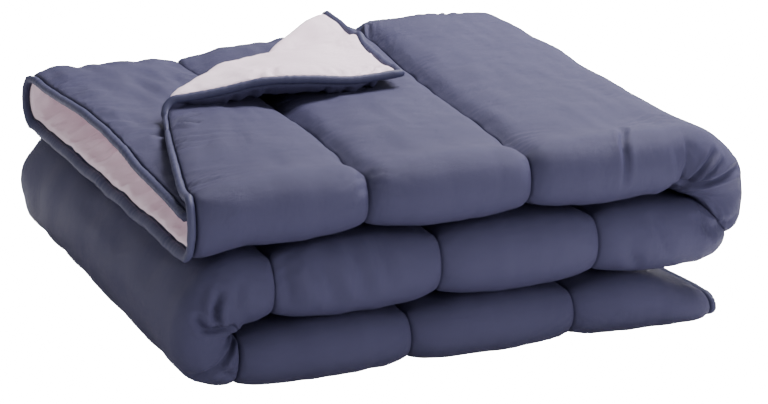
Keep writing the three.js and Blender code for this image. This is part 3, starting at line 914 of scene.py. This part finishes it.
def cord_edging(sizes, material):
    """The cloth-covered cord sewn round all four sides."""
    stations = edge_stations(EDGE_SPACING)
    count, ring = len(stations), EDGE_RING
    radius = sizes.cord_radius / MM
    turn = np.arange(ring) * 2 * math.pi / ring
    place = np.arange(count) * EDGE_SPACING
    gathers = 1 + 0.05 * ripples(place, 9, 71) + 0.035 * ripples(place, 31, 72)
    pinched = 0.4 * bell((stations[:, 1] - PINCH) / 8) * bell(stations[:, 0] / 5)
    reach = radius * (gathers - pinched)[:, None]
    out = 0.3 + radius * (1 - 0.3 * pinched[:, None]) + reach * np.cos(turn)[None, :]
    off = reach * np.sin(turn)[None, :] - sunk(stations[:, 0], stations[:, 1])[:, None]
    along = stations[:, 0:1] + out * stations[:, 2:3]
    across = stations[:, 1:2] + out * stations[:, 3:4]
    points = folded(along, across, off, sizes.crown).reshape(-1, 3)
    index = np.arange(count * ring).reshape(count, ring)
    after = np.roll(index, -1, axis=0)
    faces = np.stack([index, after, np.roll(after, -1, axis=1), np.roll(index, -1, axis=1)], -1)
    uv = np.stack(np.broadcast_arrays(place[:, None], turn[None, :] * radius), -1) * MM
    faces, uv, slots = faces.reshape(-1, 4), uv.reshape(-1, 2), np.zeros(count * ring)
    piece = mesh_object("corded_edge", points, faces, uv, [material], slots)
    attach(piece, "root")
    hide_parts("edge_cord")
    return piece


# Materials


def cloth_group():
    """Colour, roughness and height of a plain, brushed cloth, from its place on the flat quilt."""
    found = bpy.data.node_groups.get("Brushed cloth")
    if found:
        return found
    group = bpy.data.node_groups.new("Brushed cloth", "ShaderNodeTree")
    face = group.interface
    for name, kind, value in (
        ("Colour", "NodeSocketColor", (0.5, 0.5, 0.5, 1)),
        ("Shade", "NodeSocketColor", (0.4, 0.4, 0.4, 1)),
        ("Thread spacing", "NodeSocketFloat", 0.0005),
        ("Roughness", "NodeSocketFloat", 0.6),
    ):
        socket = face.new_socket(name, in_out="INPUT", socket_type=kind)
        socket.default_value = value
    face.new_socket("Colour", in_out="OUTPUT", socket_type="NodeSocketColor")
    face.new_socket("Roughness", in_out="OUTPUT", socket_type="NodeSocketFloat")
    face.new_socket("Height", in_out="OUTPUT", socket_type="NodeSocketFloat")
    nodes, links = group.nodes, group.links
    given = nodes.new("NodeGroupInput")
    put = nodes.new("NodeGroupOutput")
    uv = nodes.new("ShaderNodeUVMap")
    uv.uv_map = "ClothUV"

    def maths(operation, a, b=None):
        node = nodes.new("ShaderNodeMath")
        node.operation = operation
        for socket, value in zip(node.inputs, (a, b)):
            if value is None:
                continue
            if isinstance(value, (int, float)):
                socket.default_value = value
            else:
                links.new(value, socket)
        return node.outputs[0]

    split = nodes.new("ShaderNodeSeparateXYZ")
    links.new(uv.outputs[0], split.inputs[0])
    turns = maths("DIVIDE", 2 * math.pi, given.outputs["Thread spacing"])
    warp = maths("SINE", maths("MULTIPLY", split.outputs[0], turns))
    weft = maths("SINE", maths("MULTIPLY", split.outputs[1], turns))
    weave = maths("MULTIPLY", warp, weft)

    def noise(scale, detail, roughness):
        node = nodes.new("ShaderNodeTexNoise")
        node.noise_dimensions = "3D"
        node.inputs["Scale"].default_value = scale
        node.inputs["Detail"].default_value = detail
        node.inputs["Roughness"].default_value = roughness
        links.new(uv.outputs[0], node.inputs["Vector"])
        return node.outputs["Fac"]

    crush = noise(55, 5, 0.62)
    nap = noise(900, 3, 0.6)
    cloud = noise(7, 3, 0.5)
    tone = maths("ADD", maths("MULTIPLY", cloud, 0.55), maths("MULTIPLY", nap, 0.45))
    mix = nodes.new("ShaderNodeMix")
    mix.data_type = "RGBA"
    links.new(tone, mix.inputs["Factor"])
    links.new(given.outputs["Shade"], mix.inputs["A"])
    links.new(given.outputs["Colour"], mix.inputs["B"])
    links.new(mix.outputs["Result"], put.inputs["Colour"])
    wear = maths("MULTIPLY", maths("SUBTRACT", nap, 0.5), 0.16)
    worn = maths("ADD", given.outputs["Roughness"], wear)
    links.new(worn, put.inputs["Roughness"])
    fine = maths("ADD", maths("MULTIPLY", weave, 0.05), maths("MULTIPLY", nap, 0.14))
    links.new(maths("ADD", fine, maths("MULTIPLY", crush, 1.0)), put.inputs["Height"])
    return group


def cloth_material(name, colour, shade, roughness, sheen, bump, thread=0.0005):
    material = bpy.data.materials.new(name)
    material.use_nodes = True
    nodes, links = material.node_tree.nodes, material.node_tree.links
    shader = nodes["Principled BSDF"]
    cloth = nodes.new("ShaderNodeGroup")
    cloth.node_tree = cloth_group()
    cloth.inputs["Colour"].default_value = (*colour, 1)
    cloth.inputs["Shade"].default_value = (*shade, 1)
    cloth.inputs["Thread spacing"].default_value = thread
    cloth.inputs["Roughness"].default_value = roughness
    links.new(cloth.outputs["Colour"], shader.inputs["Base Color"])
    links.new(cloth.outputs["Roughness"], shader.inputs["Roughness"])
    raised = nodes.new("ShaderNodeBump")
    raised.inputs["Strength"].default_value = 1.0
    raised.inputs["Distance"].default_value = bump
    links.new(cloth.outputs["Height"], raised.inputs["Height"])
    links.new(raised.outputs["Normal"], shader.inputs["Normal"])
    shader.inputs["Sheen Weight"].default_value = sheen
    shader.inputs["Sheen Roughness"].default_value = 0.35
    shader.inputs["Sheen Tint"].default_value = (*colour, 1)
    shader.inputs["Specular IOR Level"].default_value = 0.18
    return material


def comforter_materials(colours):
    found = [bpy.data.materials.get(n) for n in ("Face cloth", "Reverse cloth", "Edge cloth")]
    if all(found):
        return found
    return [
        cloth_material("Face cloth", colours.face, colours.face_shade, 0.55, 0.05, 0.0019),
        cloth_material("Reverse cloth", colours.reverse, colours.reverse_shade, 0.6, 0.05, 0.0019),
        cloth_material("Edge cloth", colours.edging, colours.edging_shade, 0.5, 0.05, 0.0005),
    ]


# Sizes and colours that a user would change


class ComforterSizes(PropertyGroup):
    seam_thickness: FloatProperty(
        name="Seam thickness",
        description="Thickness of the quilt at a sewn channel line",
        default=0.0018,
        min=0.001,
        max=0.02,
        unit="LENGTH",
    )
    crown: FloatProperty(
        name="Crown",
        description="Below 1 a channel is boxy, at 1 it is a pure arch",
        default=0.42,
        min=0.2,
        max=1.0,
    )
    cord_radius: FloatProperty(
        name="Cord radius",
        description="Radius of the cloth-covered cord round the edge",
        default=0.0054,
        min=0.002,
        max=0.012,
        unit="LENGTH",
    )
    pucker_height: FloatProperty(
        name="Pucker height",
        description="Height of the gathers beside the seams",
        default=0.0014,
        min=0.0,
        max=0.006,
        unit="LENGTH",
    )
    unevenness: FloatProperty(
        name="Unevenness",
        description="How lumpy and creased the filled cloth is",
        default=1.0,
        min=0.0,
        max=3.0,
    )


class ComforterColours(PropertyGroup):
    face: FloatVectorProperty(
        name="Face cloth", description="Slate blue face", subtype="COLOR", default=(0.057, 0.056, 0.11)
    )
    face_shade: FloatVectorProperty(
        name="Face cloth shade",
        description="Its darker tone",
        subtype="COLOR",
        default=(0.04, 0.039, 0.08),
    )
    reverse: FloatVectorProperty(
        name="Reverse cloth", description="Pale reverse", subtype="COLOR", default=(0.97, 0.79, 0.87)
    )
    reverse_shade: FloatVectorProperty(
        name="Reverse cloth shade",
        description="Its darker tone",
        subtype="COLOR",
        default=(0.93, 0.74, 0.82),
    )
    edging: FloatVectorProperty(
        name="Edge cloth",
        description="Cloth over the cord",
        subtype="COLOR",
        default=(0.052, 0.053, 0.104),
    )
    edging_shade: FloatVectorProperty(
        name="Edge cloth shade",
        description="Its darker tone",
        subtype="COLOR",
        default=(0.036, 0.038, 0.074),
    )
    floor: FloatVectorProperty(
        name="Floor", description="Pale studio floor", subtype="COLOR", default=(0.82, 0.815, 0.82)
    )


class COMFORTER_OT_quilt(Operator):
    """Build the filled and quilted cloth, in four lengths sewn at channel lines"""

    bl_idname = "comforter.quilt"
    bl_label = "Quilt"

    def execute(self, context):
        materials = comforter_materials(context.scene.comforter_colours)
        for strip in STRIPS:
            quilt_strip(strip, context.scene.comforter_sizes, materials)
        return {"FINISHED"}


class COMFORTER_OT_edging(Operator):
    """Build the cloth-covered cord round the quilt's edge"""

    bl_idname = "comforter.edging"
    bl_label = "Corded edge"

    def execute(self, context):
        materials = comforter_materials(context.scene.comforter_colours)
        cord_edging(context.scene.comforter_sizes, materials[2])
        return {"FINISHED"}


# The photograph's viewpoint: turn and tilt in radians, and the distance to the object
VIEW_TURN = 0.4164
VIEW_TILT = 0.2816
VIEW_SHIFT = (-0.14428, -0.22485, 2.2787)
FOCAL_SHARE = 2016.8 / 768
FLOOR_GLOW = 30.0
WORLD_STRENGTH = 0.4
LIGHT_COLOUR = (0.97, 0.94, 1.0)
LIGHT_TARGET = (0, 0, 0.15)

# Name, place, size and power of each light
LIGHTS = (
    ("overhead", (1.25, 0.4, 2.2), 1.3, 180),
    ("right_front", (1.3, -2.9, 0.8), 1.5, 68),
    ("left_front", (-2.6, -0.4, 0.7), 0.7, 13),
)


class COMFORTER_OT_stage(Operator):
    """Build the floor, the backdrop, the lights and the camera"""

    bl_idname = "comforter.stage"
    bl_label = "Stage"

    def execute(self, context):
        scene = context.scene
        floor_colour = scene.comforter_colours.floor
        material = bpy.data.materials.new("Studio floor")
        material.use_nodes = True
        shader = material.node_tree.nodes["Principled BSDF"]
        shader.inputs["Base Color"].default_value = (*floor_colour, 1)
        shader.inputs["Roughness"].default_value = 0.9
        shader.inputs["Specular IOR Level"].default_value = 0.1
        seen = material.node_tree.nodes.new("ShaderNodeLightPath")
        shader.inputs["Emission Color"].default_value = (*floor_colour, 1)
        glow = material.node_tree.nodes.new("ShaderNodeMath")
        glow.operation = "MULTIPLY"
        glow.inputs[1].default_value = FLOOR_GLOW
        material.node_tree.links.new(seen.outputs["Is Camera Ray"], glow.inputs[0])
        material.node_tree.links.new(glow.outputs[0], shader.inputs["Emission Strength"])
        rows = []
        for n in range(25):
            if n < 8:
                rows.append((-3.5 + n * 0.9, 0.0))
            else:
                turn = (n - 8) / 16 * math.pi / 2
                rows.append((2.8 + 2.0 * math.sin(turn), 2.0 * (1 - math.cos(turn))))
        rows.append((4.8, 6.0))
        points, faces = [], []
        turn = Matrix.Rotation(-VIEW_TURN, 3, "Z")
        for y, z in rows:
            for x in (-6, 6):
                points.append(turn @ Vector((x, y, z)))
        for n in range(len(rows) - 1):
            faces.append((2 * n, 2 * n + 1, 2 * n + 3, 2 * n + 2))
        mesh = bpy.data.meshes.new("studio_floor")
        mesh.from_pydata(points, [], faces)
        mesh.materials.append(material)
        for polygon in mesh.polygons:
            polygon.use_smooth = True
        floor = bpy.data.objects.new("studio_floor", mesh)
        scene.collection.objects.link(floor)

        world = bpy.data.worlds.new("Studio")
        world.use_nodes = True
        background = world.node_tree.nodes["Background"]
        background.inputs["Color"].default_value = (1, 1, 1, 1)
        background.inputs["Strength"].default_value = WORLD_STRENGTH
        scene.world = world
        for name, place, size, power in LIGHTS:
            light = bpy.data.lights.new(name, "AREA")
            light.shape = "SQUARE"
            light.size = size
            light.energy = power
            light.color = LIGHT_COLOUR
            lamp = bpy.data.objects.new(name, light)
            lamp.location = place
            aim = Vector(LIGHT_TARGET) - Vector(place)
            lamp.rotation_euler = aim.to_track_quat("-Z", "Y").to_euler()
            scene.collection.objects.link(lamp)

        right = Vector((math.cos(VIEW_TURN), -math.sin(VIEW_TURN), 0))
        ahead = Vector(
            (
                math.sin(VIEW_TURN) * math.cos(VIEW_TILT),
                math.cos(VIEW_TURN) * math.cos(VIEW_TILT),
                -math.sin(VIEW_TILT),
            )
        )
        up = right.cross(ahead)
        data = bpy.data.cameras.new("photo_view")
        data.sensor_width = 36
        data.lens = 36 * FOCAL_SHARE
        camera = bpy.data.objects.new("photo_view", data)
        place = -(VIEW_SHIFT[0] * right + VIEW_SHIFT[1] * up + VIEW_SHIFT[2] * ahead)
        place -= Vector((*(ORIGIN[:2] * MM), SEAT * MM))
        turned = Matrix((right, up, -ahead)).transposed().to_4x4()
        camera.matrix_world = Matrix.Translation(place) @ turned
        scene.collection.objects.link(camera)
        scene.camera = camera
        return {"FINISHED"}


class COMFORTER_PT_panel(Panel):
    """Sizes, colours and pieces of the comforter"""

    bl_idname = "COMFORTER_PT_panel"
    bl_label = "Folded comforter"
    bl_space_type = "VIEW_3D"
    bl_region_type = "UI"
    bl_category = "Comforter"

    def draw(self, context):
        layout = self.layout
        for group in (context.scene.comforter_sizes, context.scene.comforter_colours):
            box = layout.box()
            for name in group.bl_rna.properties.keys():
                if name not in ("rna_type", "name"):
                    box.prop(group, name)
        for operator in OPERATORS:
            layout.operator(operator.bl_idname)


OPERATORS = (COMFORTER_OT_quilt, COMFORTER_OT_edging, COMFORTER_OT_stage)
CLASSES = (ComforterSizes, ComforterColours, *OPERATORS, COMFORTER_PT_panel)


def register():
    for item in CLASSES:
        bpy.utils.register_class(item)
    bpy.types.Scene.comforter_sizes = PointerProperty(type=ComforterSizes)
    bpy.types.Scene.comforter_colours = PointerProperty(type=ComforterColours)


def unregister():
    del bpy.types.Scene.comforter_colours
    del bpy.types.Scene.comforter_sizes
    for item in reversed(CLASSES):
        bpy.utils.unregister_class(item)


def main():
    register()
    for operator in OPERATORS:
        group, name = operator.bl_idname.split(".")
        getattr(getattr(bpy.ops, group), name)()


if __name__ == "__main__":
    main()
